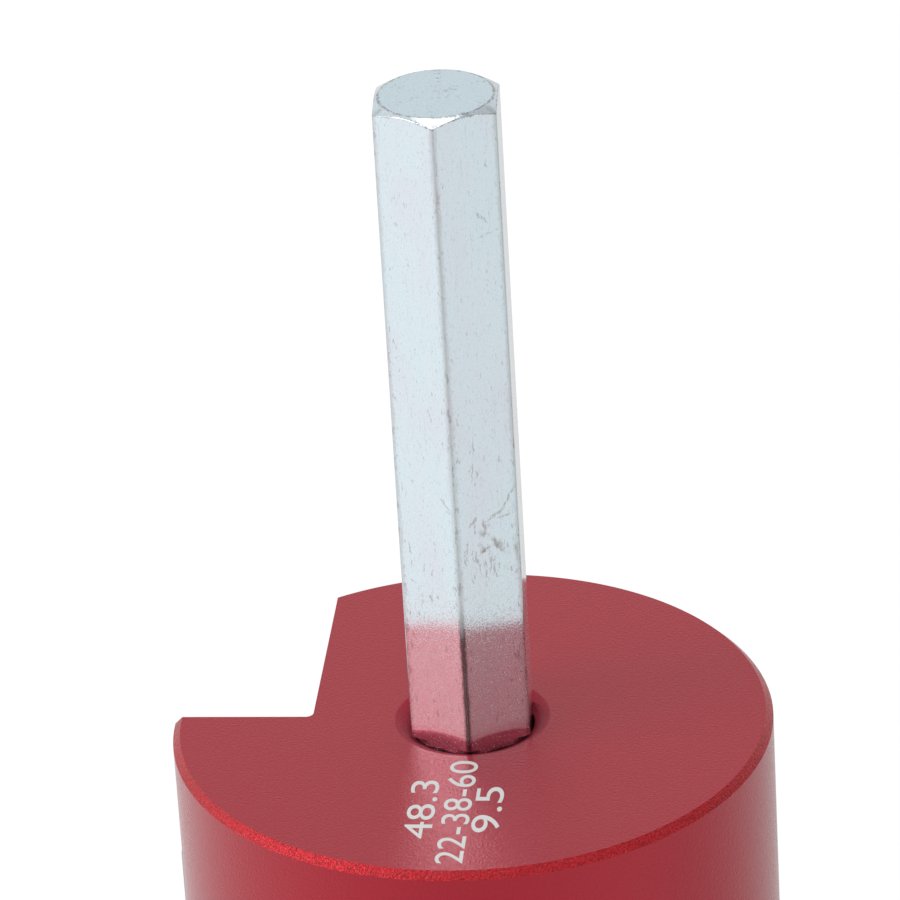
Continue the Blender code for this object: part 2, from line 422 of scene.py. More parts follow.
# The bore's mouth is a worn rounding, which leans from the crease at its edge to the full angle
mouth_reach = bore_radius + mouth_radius * sin(mouth_angle)
mouth_curve = (mouth_reach - bore_radius) / (sin(mouth_angle) - sin(mouth_crease))
mouth_step = (mouth_angle - mouth_crease) / mouth_facets
mouth_leans = [mouth_crease + mouth_step * k for k in range(mouth_facets + 1)]
mouth_ring = mouth_reach
bpy.ops.mesh.inset(thickness=body_radius - mouth_reach)
for lean_above, lean_below in zip(mouth_leans, mouth_leans[1:]):
    next_ring = mouth_ring - mouth_curve * (sin(lean_below) - sin(lean_above))
    extrude_up(mouth_curve * (cos(lean_below) - cos(lean_above)))
    widen(mouth_ring, next_ring)
    mouth_ring = next_ring
mouth_depth = mouth_curve * (cos(mouth_crease) - cos(mouth_angle))
extrude_up(web_top - top_height + mouth_depth)
bpy.ops.mesh.inset(thickness=bore_radius - web_hole_radius)
pick("faces", lambda f: at_height(f, 0.0, -1.0))
bpy.ops.mesh.inset(thickness=pilot_radius - recess_radius)
extrude_up(recess_depth)
bpy.ops.mesh.inset(thickness=recess_radius - web_hole_radius)
pick("faces", lambda f: len(f.verts) == body_segments)
bpy.ops.mesh.bridge_edge_loops()
bevel_edges(body, ring_at(body_radius, top_height), rim_chamfer)
bevel_edges(body, ring_at(body_radius, shoulder_height), shoulder_chamfer)
bevel_edges(body, ring_at(pilot_radius, 0.0), pilot_chamfer)

past = 2 * body_radius
notch = block("notch_cutter", (-past, 0.0, -past), (-notch_wall, past, past + top_height))
bevel_edges(
    notch,
    lambda e: all(abs(v.co.x + notch_wall) < near and abs(v.co.y) < near for v in e.verts),
    notch_fillet,
    8,
)
cut(body, notch)
pocket_top = blade_high.z + fit_gap
cut(body, block("pocket_cutter", (-past, blade_seat, -past), (-notch_wall, 2 * notch_fillet, pocket_top)))
for low, high in screw_boxes:
    middle = (low + high) / 2
    hole_mouth = (middle.x, blade_seat, middle.z)
    drilled(body, hole_mouth, (0.0, 1.0, 0.0), blade_screw_size / 2 + fit_gap, blade_tapping_depth)
for low, high in grub_boxes:
    hole_mouth = (body_radius, 0.0, (low.z + high.z) / 2)
    into_bore = body_radius - bore_radius + 0.5 * MM
    drilled(body, hole_mouth, (1.0, 0.0, 0.0), grub_screw_size / 2 + fit_gap, into_bore)
soften(body, edge_softness)


def finish_tree(name):
    """A new material, its node tree, its shader and its Object coordinates."""
    made = bpy.data.materials.new(name)
    made.use_nodes = True
    tree = made.node_tree
    return made, tree, tree.nodes["Principled BSDF"], add_node(tree, "ShaderNodeTexCoord").outputs["Object"]


def anodised(name, dye, grain, relief, skin_relief, painted_sparkle, rubbed, roughness=0.45, skin_weight=1.0):
    """Dyed aluminium: metal under a thin clear oxide, with shallow dimples, glints painted into the dye by
    the dimples, and a few rubbed specks.
    """
    made, tree, shader, place = finish_tree(name)
    dimples = add_node(
        tree, "ShaderNodeTexNoise", {"Vector": place, "Scale": 1 / grain, "Detail": 2.0, "Roughness": 0.7}
    )
    # Painted glints: the dye is made lighter where the dimples rise and darker where they sink, by up to
    # the given share
    painted_glint = add_node(
        tree,
        "ShaderNodeMapRange",
        {
            "Value": dimples,
            "From Min": 0.3,
            "From Max": 0.7,
            "To Min": 1.0 - painted_sparkle,
            "To Max": 1.0 + painted_sparkle,
        },
    )
    dye_and_painted_glints = add_node(tree, "ShaderNodeVectorMath", {0: linear(dye)[:3], "Scale": painted_glint}, operation="SCALE")
    specks = add_node(
        tree,
        "ShaderNodeTexNoise",
        {"Vector": place, "Scale": 1 / (0.5 * MM), "Detail": 4.0, "Roughness": 0.7},
    )
    bare = add_node(
        tree,
        "ShaderNodeMapRange",
        {"Value": specks, "From Min": rubbed, "From Max": rubbed + 0.05, "To Max": 0.6},
    )
    colour = add_node(
        tree, "ShaderNodeMix", {"Factor": bare, "A": dye_and_painted_glints, "B": linear("d8b4b4")}, data_type="RGBA"
    )
    bump = add_node(tree, "ShaderNodeBump", {"Height": dimples, "Strength": 1.0, "Distance": relief})
    skin = add_node(tree, "ShaderNodeBump", {"Height": dimples, "Strength": 1.0, "Distance": skin_relief})
    for socket, value in (
        ("Base Color", colour),
        ("Metallic", 0.6),
        ("Roughness", roughness),
        ("Specular IOR Level", 0.0),
        ("Coat Weight", skin_weight),
        ("Coat Roughness", 0.17),
        ("Coat IOR", 1.43),
        ("Normal", bump),
        ("Coat Normal", skin),
    ):
        put(shader.inputs[socket], value)
    return made


# Bead-blasted skin: an even satin red. A bead's dimple is about 0.1 mm wide and is drawn at 0.24 mm,
# so that the grain shows.
satin_red = anodised(
    "bead_blasted_red_anodising",
    "ac0c28",
    grain=0.24 * MM,
    relief=0.04 * MM,
    skin_relief=0.05 * MM,
    painted_sparkle=0.04,
    rubbed=0.72,
)
# Rim, chamfered by a lathe: the feed marks sparkle, with strong painted glints in the dye. They are about
# 0.05 mm apart, drawn at 0.17 mm.
rim_red = anodised(
    "turned_rim_red_anodising",
    "b61523",
    grain=0.17 * MM,
    relief=0.08 * MM,
    skin_relief=0.11 * MM,
    painted_sparkle=0.5,
    rubbed=0.68,
    roughness=0.34,
    skin_weight=0.8,
)
# Mouth of the bore: turned as the rim is, duller, and its skin rubbed thin where the shank went in.
mouth_red = anodised(
    "turned_mouth_red_anodising",
    "a82238",
    grain=0.17 * MM,
    relief=0.03 * MM,
    skin_relief=0.05 * MM,
    painted_sparkle=0.2,
    rubbed=0.76,
    skin_weight=0.4,
)
for finish in (satin_red, rim_red, mouth_red):
    body.data.materials.append(finish)
for face in body.data.polygons:
    outward = face.center.xy.length
    off_chamfer = abs(face.center.z - top_height + rim_chamfer / 2)
    on_rim = outward > body_radius - rim_chamfer - edge_softness / 2
    on_rim = on_rim and off_chamfer < rim_chamfer / 2 + edge_softness
    in_mouth = outward < mouth_reach and face.center.z > top_height - mouth_depth - edge_softness
    face.material_index = 2 * in_mouth + on_rim
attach(body, "root")
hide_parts("reamer_body")

# Hex shank: 3/8 in bright drawn bar, its end turned to a 30 degree chamfer, then zinc plated.
# The plate is a pale blue mirror with drawing lines, worn brown-grey along the corners.
# Its round seat is 0.1 mm slimmer than the solid's, to stay clear of the tighter bore.
shank_low, shank_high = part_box("hex_shank")
shank_turn = radians(2.0)
shank_flat = 9.45 / 2 * MM
shank_corner_radius = 0.25 * MM
shank_end_radius = 8.86 / 2 * MM
shank_end_angle = radians(30.0)
spigot_radius = 3.975 * MM
seat_radius = 4.89 * MM
shank_foot = 11.7 * MM
seat_top = 59.845 * MM
shank_edge_softness = 0.07 * MM
shank_end_worn = 0.27 * MM
end_screw_size = 5.0 * MM
end_tapping_depth = 13.0 * MM
sharp_corner = 2 * shank_flat / sqrt(3)
shank_reach = sharp_corner + 0.1 * MM
chamfer_height = (shank_reach - shank_end_radius) * tan(shank_end_angle)

shank = rod("hex_shank_finish", sharp_corner, shank_low.z, shank_high.z, 6)
activate(shank)
shank.rotation_euler.z = shank_turn
bpy.ops.object.transform_apply()
bevel_edges(
    shank,
    lambda e: abs(e.verts[0].co.z - e.verts[1].co.z) > MM,
    shank_corner_radius * tan(radians(30.0)),
    6,
)
outline = rod("lathe_outline", spigot_radius, shank_low.z, shank_foot, 120)
activate(outline, "EDIT")
pick("faces", lambda f: at_height(f, shank_foot))
extrude_up(0.0)
widen(spigot_radius, seat_radius)
extrude_up(seat_top - shank_foot)
extrude_up(0.0)
widen(seat_radius, shank_reach)
extrude_up(shank_high.z - chamfer_height - seat_top)
extrude_up(chamfer_height)
widen(shank_reach, shank_end_radius)
bpy.ops.object.mode_set(mode="OBJECT")
cut(shank, outline, "INTERSECT")

# The edges between the flats and the turned chamfer, which are worn round
bevel_edges(
    shank,
    lambda e: all(0.02 * MM < shank_high.z - v.co.z < 2 * MM for v in e.verts),
    shank_end_worn,
    4,
    clamp_overlap=True,
)
foot_centre = (0.0, 0.0, shank_low.z)
drilled(shank, foot_centre, (0.0, 0.0, -1.0), end_screw_size / 2 + fit_gap, end_tapping_depth)
soften(shank, shank_edge_softness)

# A pocked patch and then the longest scratches: the flat's turn, how far sideways and how high the
# middle lies, the mark's own turn, and half its length and width
right, left = radians(60.0), radians(120.0)
scratches = (
    (right, 0.2 * MM, 76.4 * MM, radians(-48.0), 3.2 * MM, 2.0 * MM),
    (right, 1.86 * MM, 81.33 * MM, radians(-123.0), 1.0 * MM, 0.12 * MM),
    (right, 0.74 * MM, 80.25 * MM, radians(-153.0), 0.75 * MM, 0.14 * MM),
    (right, -1.25 * MM, 80.1 * MM, radians(47.0), 0.5 * MM, 0.1 * MM),
    (right, -0.25 * MM, 79.52 * MM, radians(-81.0), 0.55 * MM, 0.14 * MM),
    (right, -0.24 * MM, 78.73 * MM, radians(-41.0), 0.65 * MM, 0.22 * MM),
    (right, 1.56 * MM, 79.95 * MM, radians(2.0), 0.7 * MM, 0.06 * MM),
    (right, 0.93 * MM, 77.54 * MM, radians(-57.0), 0.9 * MM, 0.24 * MM),
    (right, 2.35 * MM, 76.78 * MM, radians(-83.0), 1.0 * MM, 0.18 * MM),
    (right, -0.37 * MM, 77.41 * MM, radians(21.0), 0.65 * MM, 0.12 * MM),
    (right, -1.0 * MM, 84.96 * MM, radians(-95.0), 2.4 * MM, 0.05 * MM),
    (right, 1.35 * MM, 104.32 * MM, radians(8.0), 0.75 * MM, 0.08 * MM),
    (right, 0.95 * MM, 105.83 * MM, radians(-50.0), 0.6 * MM, 0.1 * MM),
    (right, 1.59 * MM, 110.1 * MM, radians(-81.0), 0.25 * MM, 0.06 * MM),
    (left, 1.81 * MM, 81.99 * MM, radians(-50.0), 0.75 * MM, 0.06 * MM),
    (left, -0.09 * MM, 73.21 * MM, radians(-50.0), 0.55 * MM, 0.08 * MM),
    (left, -0.85 * MM, 72.47 * MM, radians(73.0), 0.3 * MM, 0.07 * MM),
    (left, -1.57 * MM, 74.26 * MM, radians(-32.0), 0.3 * MM, 0.06 * MM),
)
scratch_depth = 1.2 * MM
scratch_wander = 0.6 * MM

# Heights at which a look of the plate starts and at which it is full, the first and the seventh for painted
# shade on the front corner and just above the body, and last how far forward of the axis the front corner
# lies
corner_shade_span = (73.0 * MM, 70.0 * MM)
more_chips = (95.0 * MM, 78.0 * MM)
grain_upper = (82.0 * MM, 72.0 * MM)
grain_lower = (69.6 * MM, 71.6 * MM)
pits_lower = (66.5 * MM, 71.6 * MM)
pits_upper = (84.0 * MM, 74.0 * MM)
foot_shade_span = (61.7 * MM, 60.7 * MM)
front_corner = (4.2 * MM, 4.6 * MM)

# Sizes of the plate's patterns. A drawing line is about 0.05 mm wide and a crystal of zinc far finer.
# Lines, nicks, grain and pits are drawn as coarse as they have to be to show.
line_width = 0.22 * MM
nick_width = 0.13 * MM
grain_width = 0.16 * MM
pit_width = 0.14 * MM
chip_width = 0.35 * MM
tone_width = 4.0 * MM
plate_relief = 0.012 * MM


def along(tree, place, toward):
    """How far a place lies from the axis in this direction."""
    return add_node(tree, "ShaderNodeVectorMath", {0: place, 1: toward}, operation="DOT_PRODUCT")


def edge_distances(tree, place, radius, below_end):
    """Distances to the nearest corner of the hexagon and to the nearest edge of its turned end."""
    across = []
    for flat in range(3):
        offset = along(tree, place, pointing(shank_turn + radians(60.0 * flat), 0.0))
        across.append(add_node(tree, "ShaderNodeMath", {0: offset}, operation="ABSOLUTE"))
    least = add_node(tree, "ShaderNodeMath", {0: across[0], 1: across[1]}, operation="MINIMUM")
    off_corner = add_node(tree, "ShaderNodeMath", {0: least, 1: across[2]}, operation="MINIMUM")
    most = add_node(tree, "ShaderNodeMath", {0: across[0], 1: across[1]}, operation="MAXIMUM")
    most = add_node(tree, "ShaderNodeMath", {0: most, 1: across[2]}, operation="MAXIMUM")
    off_flat = add_node(tree, "ShaderNodeMath", {0: shank_flat, 1: most}, operation="SUBTRACT")
    cone = add_node(
        tree,
        "ShaderNodeMath",
        {0: below_end, 1: 1 / tan(shank_end_angle), 2: shank_end_radius},
        operation="MULTIPLY_ADD",
    )
    off_cone = add_node(tree, "ShaderNodeMath", {0: cone, 1: radius}, operation="SUBTRACT")
    off_cone = add_node(
        tree, "ShaderNodeMath", {0: off_cone, 1: sin(shank_end_angle)}, operation="MULTIPLY"
    )
    nearer = add_node(tree, "ShaderNodeMath", {0: off_flat, 1: off_cone}, operation="MINIMUM")
    further = add_node(tree, "ShaderNodeMath", {0: off_flat, 1: off_cone}, operation="MAXIMUM")
    further = add_node(tree, "ShaderNodeMath", {0: further, 1: below_end}, operation="MINIMUM")
    return off_corner, add_node(tree, "ShaderNodeMath", {0: nearer, 1: further}, operation="MAXIMUM")


def scratch_reaches(tree, place):
    """For each scratch, how far a place lies from its middle, where 1 is its own edge."""
    crooked = add_node(
        tree,
        "ShaderNodeTexNoise",
        {"Vector": place, "Scale": 1 / (0.5 * MM), "Detail": 3.0, "Roughness": 0.7},
    ).outputs["Color"]
    crooked = add_node(
        tree,
        "ShaderNodeVectorMath",
        {0: crooked, 1: (scratch_wander,) * 3, 2: place},
        operation="MULTIPLY_ADD",
    )
    reaches = []
    for flat, sideways, rise, turn, half_length, half_width in scratches:
        outward = pointing(shank_turn - flat, 0.0)
        aside = Vector((-outward.y, outward.x, 0.0))
        lengthways = aside * cos(turn) + Vector((0.0, 0.0, sin(turn)))
        middle = outward * shank_flat + aside * sideways + Vector((0.0, 0.0, rise))
        axes = Matrix((lengthways, outward.cross(lengthways), outward)).transposed()
        measured = add_node(
            tree,
            "ShaderNodeMapping",
            {
                "Vector": crooked,
                "Location": middle + Vector((scratch_wander / 2,) * 3),
                "Rotation": axes.to_euler(),
                "Scale": (half_length, half_width, scratch_depth),
            },
            vector_type="TEXTURE",
        )
        reaches.append(add_node(tree, "ShaderNodeVectorMath", {0: measured}, operation="LENGTH"))
    return reaches


def zinc_plated(name):
    """Bright zinc on drawn bar: a pale blue mirror, lined along the draw, with worn brown-grey edges, and
    painted shade low on its front corner and just above the body.
    """
    made, tree, shader, place = finish_tree(name)
    up = add_node(tree, "ShaderNodeSeparateXYZ", {0: place}).outputs["Z"]
    drawn = add_node(tree, "ShaderNodeMapping", {"Vector": place, "Scale": (1.0, 1.0, 0.08)})
    dragged = add_node(tree, "ShaderNodeMapping", {"Vector": place, "Scale": (1.0, 1.0, 0.35)})
    in_plan = add_node(tree, "ShaderNodeVectorMath", {0: place, 1: (1.0, 1.0, 0.0)}, operation="MULTIPLY")
    radius = add_node(tree, "ShaderNodeVectorMath", {0: in_plan}, operation="LENGTH")
    below_end = add_node(tree, "ShaderNodeMath", {0: shank_high.z, 1: up}, operation="SUBTRACT")
    off_corner, off_edge = edge_distances(tree, place, radius, below_end)
    chips = add_node(
        tree,
        "ShaderNodeTexNoise",
        {"Vector": dragged, "Scale": 1 / chip_width, "Detail": 4.0, "Roughness": 0.7},
    )

    # Ragged wear along the corners and on the end's edges, and a dark painted shade, ragged like the wear,
    # on the front corner near the body
    ragged = add_node(
        tree, "ShaderNodeMath", {0: chips, 1: 0.9 * MM, 2: -0.45 * MM}, operation="MULTIPLY_ADD"
    )
    off_band = add_node(tree, "ShaderNodeMath", {0: off_corner, 1: ragged}, operation="ADD")
    off_line = add_node(
        tree, "ShaderNodeMath", {0: ragged, 1: 0.5, 2: off_corner}, operation="MULTIPLY_ADD"
    )
    off_edge = add_node(tree, "ShaderNodeMath", {0: ragged, 1: 0.5, 2: off_edge}, operation="MULTIPLY_ADD")
    on_side = add_node(
        tree,
        "ShaderNodeMapRange",
        {"Value": radius, "From Min": shank_flat - 0.3 * MM, "From Max": shank_flat, "To Max": 0.24},
    )
    shade_by_foot = add_node(
        tree,
        "ShaderNodeMapRange",
        {"Value": up, "From Min": corner_shade_span[0], "From Max": corner_shade_span[1], "To Max": 0.75},
    )
    forward = along(tree, place, pointing(shank_turn - radians(90.0), 0.0))
    shade_by_foot = add_node(
        tree,
        "ShaderNodeMapRange",
        {"Value": forward, "From Min": front_corner[0], "From Max": front_corner[1], "To Max": shade_by_foot},
    )
    corner_wear = add_node(
        tree,
        "ShaderNodeMapRange",
        {"Value": off_band, "From Min": 0.36 * MM, "From Max": 0.12 * MM, "To Max": on_side},
    )
    # Painted shade: a dark, ragged band on the front corner in the few millimetres above the body
    painted_corner_shade = add_node(
        tree,
        "ShaderNodeMapRange",
        {"Value": off_line, "From Min": 0.3 * MM, "From Max": 0.12 * MM, "To Max": shade_by_foot},
    )
    edge_wear = add_node(
        tree,
        "ShaderNodeMapRange",
        {"Value": off_edge, "From Min": 0.06 * MM, "From Max": 0.0, "To Max": 0.6},
    )
    wear = add_node(tree, "ShaderNodeMath", {0: corner_wear, 1: edge_wear}, operation="MAXIMUM")

    # Scratches that show brown-grey steel, broken along their length
    patch, *reaches = scratch_reaches(tree, place)
    off_scratch = reaches[0]
    for reach in reaches[1:]:
        off_scratch = add_node(tree, "ShaderNodeMath", {0: off_scratch, 1: reach}, operation="MINIMUM")
    broken = add_node(
        tree, "ShaderNodeMapRange", {"Value": chips, "From Min": 0.4, "From Max": 0.54, "To Max": 0.5}
    )
    scratched = add_node(
        tree,
        "ShaderNodeMapRange",
        {"Value": off_scratch, "From Min": 1.5, "From Max": 0.6, "To Max": broken},
    )

    # Chips in the plate, more of them in the pocked patch, by the corners and lower on the shank
    tones = add_node(
        tree, "ShaderNodeTexNoise", {"Vector": dragged, "Scale": 1 / tone_width, "Detail": 3.0}
    )
    pocked = add_node(
        tree, "ShaderNodeMapRange", {"Value": patch, "From Min": 1.1, "From Max": 0.2, "To Max": 0.1}
    )
    by_corner = add_node(
        tree,
        "ShaderNodeMapRange",
        {"Value": off_corner, "From Min": 0.8 * MM, "From Max": 0.2 * MM, "To Max": 0.07},
    )
    handled = add_node(
        tree,
        "ShaderNodeMapRange",
        {"Value": up, "From Min": more_chips[0], "From Max": more_chips[1], "To Max": 0.03},
    )
    deeper = add_node(tree, "ShaderNodeMath", {0: chips, 1: pocked}, operation="ADD")
    deeper = add_node(tree, "ShaderNodeMath", {0: deeper, 1: by_corner}, operation="ADD")
    deeper = add_node(tree, "ShaderNodeMath", {0: tones, 1: 0.2, 2: deeper}, operation="MULTIPLY_ADD")
    deeper = add_node(tree, "ShaderNodeMath", {0: deeper, 1: handled}, operation="ADD")
    chipped = add_node(
        tree, "ShaderNodeMapRange", {"Value": deeper, "From Min": 0.74, "From Max": 0.8, "To Max": 0.45}
    )

    # Fine marks along the draw, and the plate's faint lilac patches
    patches = add_node(tree, "ShaderNodeMapRange", {"Value": tones, "From Min": 0.42, "From Max": 0.62})
    lines = add_node(
        tree,
        "ShaderNodeTexNoise",
        {"Vector": drawn, "Scale": 1 / line_width, "Detail": 5.0, "Roughness": 0.65},
    )
    lined = add_node(
        tree, "ShaderNodeMapRange", {"Value": lines, "From Min": 0.6, "From Max": 0.72, "To Max": 0.22}
    )
    nicks = add_node(
        tree,
        "ShaderNodeTexNoise",
        {"Vector": dragged, "Scale": 1 / nick_width, "Detail": 2.0, "Roughness": 0.6},
    )
    nicked = add_node(
        tree, "ShaderNodeMapRange", {"Value": nicks, "From Min": 0.6, "From Max": 0.7, "To Max": 0.24}
    )
    end_face = add_node(
        tree, "ShaderNodeMapRange", {"Value": below_end, "From Min": 0.1 * MM, "From Max": 0.02 * MM}
    )
    colour = linear("deedf3")
    for share, over in (
        (patches, "e1e8f0"),
        (end_face, "d9ecf3"),
        (lined, "99959a"),
        (nicked, "8f9097"),
        (chipped, "8a7d76"),
        (scratched, "8a7567"),
        (wear, "806a5c"),
        # dark painted shade on the front corner near the body
        (painted_corner_shade, "4a3d41"),
    ):
        colour = add_node(
            tree, "ShaderNodeMix", {"Factor": share, "A": colour, "B": linear(over)}, data_type="RGBA"
        )

    # Gloss: grainy low on the shank, and matt pits that are thickest where the body's red mirror ends
    grain = add_node(tree, "ShaderNodeTexVoronoi", {"Vector": place, "Scale": 1 / grain_width})
    thinning = add_node(
        tree,
        "ShaderNodeMapRange",
        {"Value": up, "From Min": grain_upper[0], "From Max": grain_upper[1], "To Min": 0.15},
    )
    thinning = add_node(
        tree,
        "ShaderNodeMapRange",
        {
            "Value": up,
            "From Min": grain_lower[0],
            "From Max": grain_lower[1],
            "To Min": 0.3,
            "To Max": thinning,
        },
    )
    grainy = add_node(
        tree, "ShaderNodeMapRange", {"Value": grain, "From Min": 0.5, "From Max": 0.7, "To Max": thinning}
    )
    roughness = add_node(tree, "ShaderNodeMapRange", {"Value": grainy, "To Min": 0.06, "To Max": 0.2})
    below = add_node(
        tree,
        "ShaderNodeMapRange",
        {"Value": up, "From Min": pits_lower[0], "From Max": pits_lower[1], "To Max": 0.08},
    )
    above = add_node(
        tree,
        "ShaderNodeMapRange",
        {"Value": up, "From Min": pits_upper[0], "From Max": pits_upper[1], "To Max": 0.08},
    )
    dense = add_node(tree, "ShaderNodeMath", {0: below, 1: above}, operation="MINIMUM")
    pits = add_node(tree, "ShaderNodeTexNoise", {"Vector": place, "Scale": 1 / pit_width, "Detail": 1.0})
    pits = add_node(tree, "ShaderNodeMath", {0: pits, 1: dense}, operation="ADD")
    matt = add_node(
        tree, "ShaderNodeMapRange", {"Value": pits, "From Min": 0.64, "From Max": 0.72, "To Max": 0.32}
    )
    # Painted shade: just above the body the plate is made more metallic, so its pale haze fades as where
    # the body shades it
    shaded_metallic = add_node(
        tree,
        "ShaderNodeMapRange",
        {
            "Value": up,
            "From Min": foot_shade_span[0],
            "From Max": foot_shade_span[1],
            "To Min": 0.8,
            "To Max": 0.97,
        },
    )
    metallic = add_node(tree, "ShaderNodeMath", {0: shaded_metallic, 1: matt}, operation="SUBTRACT")
    relief = add_node(tree, "ShaderNodeMix", {"Factor": 0.12, 2: lines, 3: grain})
    bump = add_node(tree, "ShaderNodeBump", {"Height": relief, "Strength": 1.0, "Distance": plate_relief})
    put(shader.inputs["Base Color"], colour)
    put(shader.inputs["Metallic"], metallic)
    put(shader.inputs["Roughness"], roughness)
    put(shader.inputs["Normal"], bump)
    return made


bright_zinc = zinc_plated("bright_zinc_plate")
shank.data.materials.append(bright_zinc)
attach(shank, "root")
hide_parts("hex_shank")

# Cutter blade: hardened tool steel, surface-ground flat, its outer side ground round to the cutting
# radius and its foot ground back to the relief angle. Two screws hold it in the notch's pocket.
relief_angle = radians(25.0)
blade_hole_depth = 3.0 * MM
blade_softness = 0.04 * MM
grinding_line = 0.14 * MM

blade = block("cutter_blade_finish", blade_low - Vector((MM, 0.0, 0.0)), blade_high)
cut(blade, rod("grinding_radius", -blade_low.x, blade_low.z - MM, blade_high.z + MM, 720), "INTERSECT")
activate(blade, "EDIT")
bpy.ops.mesh.select_all(action="SELECT")
bpy.ops.mesh.bisect(
    plane_co=(0.0, blade_high.y, blade_low.z),
    plane_no=(0.0, -sin(relief_angle), -cos(relief_angle)),
    use_fill=True,
    clear_outer=True,
)
bpy.ops.object.mode_set(mode="OBJECT")
for low, high in screw_boxes:
    middle = (low + high) / 2
    hole_mouth = (middle.x, blade_high.y, middle.z)
    drilled(blade, hole_mouth, (0.0, 1.0, 0.0), blade_screw_size / 2 + fit_gap, blade_hole_depth)
soften(blade, blade_softness, 2)


def ground_steel(name):
    """Hardened steel off a surface grinder: grey and shiny, with fine straight lines across it.

    A grinding line is about 0.03 mm wide and is drawn at 0.14 mm, so that it shows.
    """
    made, tree, shader, place = finish_tree(name)
    across = add_node(tree, "ShaderNodeMapping", {"Vector": place, "Scale": (0.05, 1.0, 1.0)})
    lines = add_node(
        tree,
        "ShaderNodeTexNoise",
        {"Vector": across, "Scale": 1 / grinding_line, "Detail": 4.0, "Roughness": 0.7},
    )
    cloud = add_node(tree, "ShaderNodeTexNoise", {"Vector": place, "Scale": 1 / (5.0 * MM), "Detail": 3.0})
    colour = add_node(
        tree,
        "ShaderNodeMix",
        {"Factor": cloud, "A": linear("a9aaad"), "B": linear("bdbbb6")},
        data_type="RGBA",
    )
    gloss = add_node(
        tree,
        "ShaderNodeMapRange",
        {"Value": lines, "From Min": 0.3, "From Max": 0.7, "To Min": 0.2, "To Max": 0.36},
    )
    bump = add_node(tree, "ShaderNodeBump", {"Height": lines, "Strength": 1.0, "Distance": 0.012 * MM})
    put(shader.inputs["Base Color"], colour)
    put(shader.inputs["Metallic"], 1.0)
    put(shader.inputs["Roughness"], gloss)
    put(shader.inputs["Normal"], bump)
    return made


blade.data.materials.append(ground_steel("surface_ground_tool_steel"))
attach(blade, "root")
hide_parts("cutter_blade")

# Blade screws: two M4 button-head screws, black oxide, with a hexagon socket. Their heads bear on the
# blade's rake face, and their threads run into the body behind the pocket.
blade_screw_length = 10.0 * MM
screw_softness = 0.05 * MM


def black_oxide(name):
    """Steel blackened in an oxide bath and oiled: nearly black, with a soft and slightly cloudy sheen.

    The oxide's crystals are a few thousandths of a millimetre and are drawn at 0.12 mm, so that they show.
    """
    made, tree, shader, place = finish_tree(name)
    cloud = add_node(
        tree,
        "ShaderNodeTexNoise",
        {"Vector": place, "Scale": 1 / (1.2 * MM), "Detail": 4.0, "Roughness": 0.6},
    )
    colour = add_node(
        tree,
        "ShaderNodeMix",
        {"Factor": cloud, "A": linear("2b2b2e"), "B": linear("3d3c3e")},
        data_type="RGBA",
    )
    gloss = add_node(
        tree,
        "ShaderNodeMapRange",
        {"Value": cloud, "From Min": 0.3, "From Max": 0.7, "To Min": 0.3, "To Max": 0.46},
    )
    grain = add_node(tree, "ShaderNodeTexNoise", {"Vector": place, "Scale": 1 / (0.12 * MM), "Detail": 2.0})
    bump = add_node(tree, "ShaderNodeBump", {"Height": grain, "Strength": 1.0, "Distance": 0.006 * MM})
    put(shader.inputs["Base Color"], colour)
    put(shader.inputs["Metallic"], 0.8)
    put(shader.inputs["Roughness"], gloss)
    put(shader.inputs["Normal"], bump)
    return made


black_steel = black_oxide("oiled_black_oxide_steel")


def button_screw(name, size, length, head_radius):
    """A button-head screw, upright, with its head's foot at height 0 and its point at -length.

    The head's height and the socket's width and depth are the usual shares of the thread's size.
    """
    head_height = 0.55 * size
    screw = rod(name, head_radius, 0.0, head_height, 96)
    bevel_edges(screw, ring_at(head_radius, head_height), 0.8 * head_height, 10, profile=0.5)
    cut(screw, rod("socket", 0.6 * size / sqrt(3), head_height - 0.33 * size, head_height + MM, 6))
    soften(screw, screw_softness, 2)
    stem = rod("stem", size / 2, -length, 0.1 * MM, 64)
    bevel_edges(stem, ring_at(size / 2, -length), size / 8)
    cut(screw, stem, "UNION")
    return screw


def seat(screw, foot, toward):
    """Turns an upright screw towards its head's direction and sets the head's foot in its place."""
    activate(screw)
    screw.rotation_euler = Vector(toward).to_track_quat("Z", "Y").to_euler()
    screw.location = foot
    bpy.ops.object.transform_apply()


for (low, high), place in zip(screw_boxes, ("lower", "upper")):
    middle = (low + high) / 2
    head_radius = (high.x - low.x) / 2
    screw = button_screw(
        f"blade_screw_{place}_finish", blade_screw_size, blade_screw_length, head_radius
    )
    seat(screw, (middle.x, blade_high.y + fit_gap, middle.z), (0.0, 1.0, 0.0))
    screw.data.materials.append(black_steel)
    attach(screw, "root")
    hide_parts(f"blade_screw_{place}")

# Grub screws: two M6 socket grub screws, black oxide, turned in from the side until they bear on a
# flat of the shank. They sit 3 mm under the body's wall, so only their sockets show.
grub_radius = grub_screw_size / 2
for (low, high), place in zip(grub_boxes, ("lower", "upper")):
    middle = (low + high) / 2
    length = high.x - low.x
    screw = rod(f"shank_grub_screw_{place}_finish", grub_radius, -length, 0.0, 96)
    bevel_edges(screw, ring_at(grub_radius, 0.0), grub_radius / 8)
    bevel_edges(screw, ring_at(grub_radius, -length), grub_radius / 2)
    cut(screw, rod("socket", grub_radius / sqrt(3), -0.6 * grub_screw_size, MM, 6))
    soften(screw, screw_softness, 2)
    seat(screw, (high.x, middle.y, middle.z), (1.0, 0.0, 0.0))
    screw.data.materials.append(black_steel)
    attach(screw, "root")
    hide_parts(f"shank_grub_screw_{place}")

